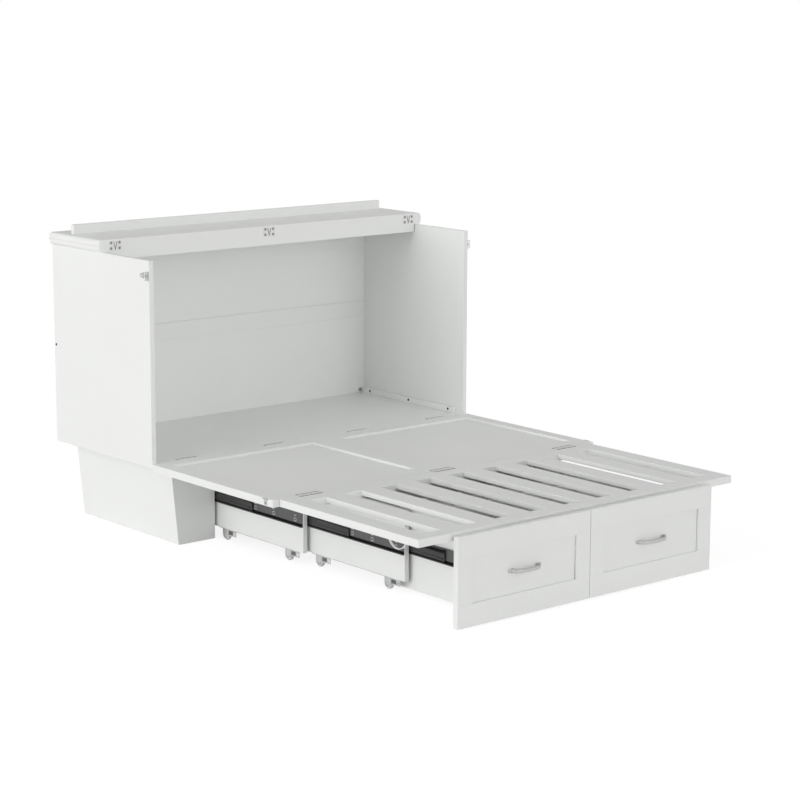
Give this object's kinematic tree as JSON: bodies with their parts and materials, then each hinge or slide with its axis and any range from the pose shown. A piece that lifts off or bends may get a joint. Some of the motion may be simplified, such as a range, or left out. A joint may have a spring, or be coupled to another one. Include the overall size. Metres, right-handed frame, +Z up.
{
  "type": "fold-out cabinet bed",
  "caption": "White cabinet that opens into a slatted double bed on a telescoping base with storage drawers.",
  "frame": {"origin": "floor level under the middle of the whole bed as it stands open", "axes": "+X to the bed's right side, seen from the foot; +Y from the foot towards the cabinet's back; +Z up"},
  "size_m": [1.518, 2.101, 1.1156],
  "materials": {
    "lacquer": "satin white lacquer on board",
    "panel": "satin white painted panel",
    "slide_steel": "black coated steel",
    "nickel": "brushed nickel",
    "zinc": "zinc plated steel",
    "wheel_plastic": "light grey nylon"
  },
  "bodies": {
    "cabinet": {"side_panel_left": "lacquer", "side_panel_right": "lacquer", "back_panel_lower": "panel", "back_rail": "lacquer", "back_panel_upper": "panel", "cabinet_floor": "panel", "floor_cleat_left": "lacquer", "floor_cleat_right": "lacquer", "lid_rear": "lacquer", "lid_fascia": "lacquer", "plinth_left": "lacquer", "plinth_right": "lacquer"},
    "lid_flap": {"lid_flap": "lacquer", "lid_flap_cleat": "lacquer"},
    "latch_left": {"latch_bail_left": "nickel"},
    "latch_right": {"latch_bail_right": "nickel"},
    "deck_middle": {"middle_frame": "lacquer", "middle_panel_left": "panel", "middle_panel_right": "panel"},
    "deck_slats": {"slat_deck": "lacquer"},
    "slides_1": {"slide_1_middle_left": "slide_steel", "slide_1_middle_right": "slide_steel"},
    "section_1": {"section_1_side_left": "lacquer", "section_1_side_right": "lacquer", "section_1_back": "lacquer", "slide_1_channel_left": "slide_steel", "slide_1_channel_right": "slide_steel", "caster_strip_1_left": "zinc", "caster_strip_1_right": "zinc"},
    "slides_2": {"slide_2_middle_left": "slide_steel", "slide_2_middle_right": "slide_steel"},
    "section_2": {"section_2_side_left": "lacquer", "section_2_side_right": "lacquer", "section_2_back": "lacquer", "slide_2_channel_left": "slide_steel", "slide_2_channel_right": "slide_steel", "caster_strip_2_left": "zinc", "caster_strip_2_right": "zinc"},
    "slides_3": {"slide_3_middle_left": "slide_steel", "slide_3_middle_right": "slide_steel"},
    "section_3": {"section_3_side_left": "lacquer", "section_3_side_right": "lacquer", "section_3_back": "lacquer", "section_3_floor": "panel", "slide_3_channel_left": "slide_steel", "slide_3_channel_right": "slide_steel"},
    "wheel_1_front_left": {"wheel_1_front_left": "wheel_plastic"},
    "wheel_1_front_right": {"wheel_1_front_right": "wheel_plastic"},
    "wheel_1_rear_left": {"wheel_1_rear_left": "wheel_plastic"},
    "wheel_1_rear_right": {"wheel_1_rear_right": "wheel_plastic"},
    "wheel_2_front_left": {"wheel_2_front_left": "wheel_plastic"},
    "wheel_2_front_right": {"wheel_2_front_right": "wheel_plastic"},
    "wheel_2_rear_left": {"wheel_2_rear_left": "wheel_plastic"},
    "wheel_2_rear_right": {"wheel_2_rear_right": "wheel_plastic"},
    "drawer_left": {"drawer_front_left": "lacquer", "drawer_box_left": "panel", "drawer_handle_left": "nickel"},
    "drawer_right": {"drawer_front_right": "lacquer", "drawer_box_right": "panel", "drawer_handle_right": "nickel"}
  },
  "joints": [
    {"name": "deck_fold", "type": "hinge", "parent": "cabinet", "child": "deck_middle", "pos_m": [0, 0.4185, 0.3145], "axis": [-1, 0, 0], "range_deg": [0, 90]},
    {"name": "slat_fold", "type": "hinge", "parent": "deck_middle", "child": "deck_slats", "pos_m": [0, -0.2895, 0.3145], "axis": [-1, 0, 0], "range_deg": [0, 180]},
    {"name": "lid_flap_fold", "type": "hinge", "parent": "cabinet", "child": "lid_flap", "pos_m": [0, 0.7105, 1.0594], "axis": [1, 0, 0], "range_deg": [0, 180]},
    {"name": "base_slide_1", "type": "slide", "parent": "cabinet", "child": "section_1", "axis": [0, 1, 0], "range_m": [0, 0.508]},
    {"name": "slide_member_1", "type": "slide", "parent": "cabinet", "child": "slides_1", "axis": [0, 1, 0], "range_m": [0, 0.254]},
    {"name": "base_slide_2", "type": "slide", "parent": "section_1", "child": "section_2", "axis": [0, 1, 0], "range_m": [0, 0.508]},
    {"name": "slide_member_2", "type": "slide", "parent": "section_1", "child": "slides_2", "axis": [0, 1, 0], "range_m": [0, 0.254]},
    {"name": "base_slide_3", "type": "slide", "parent": "section_2", "child": "section_3", "axis": [0, 1, 0], "range_m": [0, 0.4085]},
    {"name": "slide_member_3", "type": "slide", "parent": "section_2", "child": "slides_3", "axis": [0, 1, 0], "range_m": [0, 0.20425]},
    {"name": "wheel_1_front_left_spin", "type": "hinge", "parent": "section_1", "child": "wheel_1_front_left", "pos_m": [-0.4458, 0.0105, 0.02], "axis": [1, 0, 0], "continuous": true},
    {"name": "wheel_1_front_right_spin", "type": "hinge", "parent": "section_1", "child": "wheel_1_front_right", "pos_m": [0.4458, 0.0105, 0.02], "axis": [1, 0, 0], "continuous": true},
    {"name": "wheel_1_rear_left_spin", "type": "hinge", "parent": "section_1", "child": "wheel_1_rear_left", "pos_m": [-0.4458, 0.3825, 0.02], "axis": [1, 0, 0], "continuous": true},
    {"name": "wheel_1_rear_right_spin", "type": "hinge", "parent": "section_1", "child": "wheel_1_rear_right", "pos_m": [0.4458, 0.3825, 0.02], "axis": [1, 0, 0], "continuous": true},
    {"name": "wheel_2_front_left_spin", "type": "hinge", "parent": "section_2", "child": "wheel_2_front_left", "pos_m": [-0.4151, -0.4975, 0.02], "axis": [1, 0, 0], "continuous": true},
    {"name": "wheel_2_front_right_spin", "type": "hinge", "parent": "section_2", "child": "wheel_2_front_right", "pos_m": [0.4151, -0.4975, 0.02], "axis": [1, 0, 0], "continuous": true},
    {"name": "wheel_2_rear_left_spin", "type": "hinge", "parent": "section_2", "child": "wheel_2_rear_left", "pos_m": [-0.4151, -0.1255, 0.02], "axis": [1, 0, 0], "continuous": true},
    {"name": "wheel_2_rear_right_spin", "type": "hinge", "parent": "section_2", "child": "wheel_2_rear_right", "pos_m": [0.4151, -0.1255, 0.02], "axis": [1, 0, 0], "continuous": true},
    {"name": "drawer_left_slide", "type": "slide", "parent": "section_3", "child": "drawer_left", "axis": [0, -1, 0], "range_m": [0, 0.35]},
    {"name": "latch_left_turn", "type": "hinge", "parent": "cabinet", "child": "latch_left", "pos_m": [-0.7475, 0.423, 0.983], "axis": [0, 0, 1], "range_deg": [-90, 90]},
    {"name": "drawer_right_slide", "type": "slide", "parent": "section_3", "child": "drawer_right", "axis": [0, -1, 0], "range_m": [0, 0.35]},
    {"name": "latch_right_turn", "type": "hinge", "parent": "cabinet", "child": "latch_right", "pos_m": [0.7475, 0.423, 0.983], "axis": [0, 0, -1], "range_deg": [-90, 90]}
  ],
  "couplings": [
    {"joint": "base_slide_1", "follows": "deck_fold", "m_per_rad": 0.3234},
    {"joint": "slide_member_1", "follows": "deck_fold", "m_per_rad": 0.1617},
    {"joint": "base_slide_2", "follows": "deck_fold", "m_per_rad": 0.3234},
    {"joint": "slide_member_2", "follows": "deck_fold", "m_per_rad": 0.1617},
    {"joint": "base_slide_3", "follows": "deck_fold", "m_per_rad": 0.26006},
    {"joint": "slide_member_3", "follows": "deck_fold", "m_per_rad": 0.13003}
  ]
}
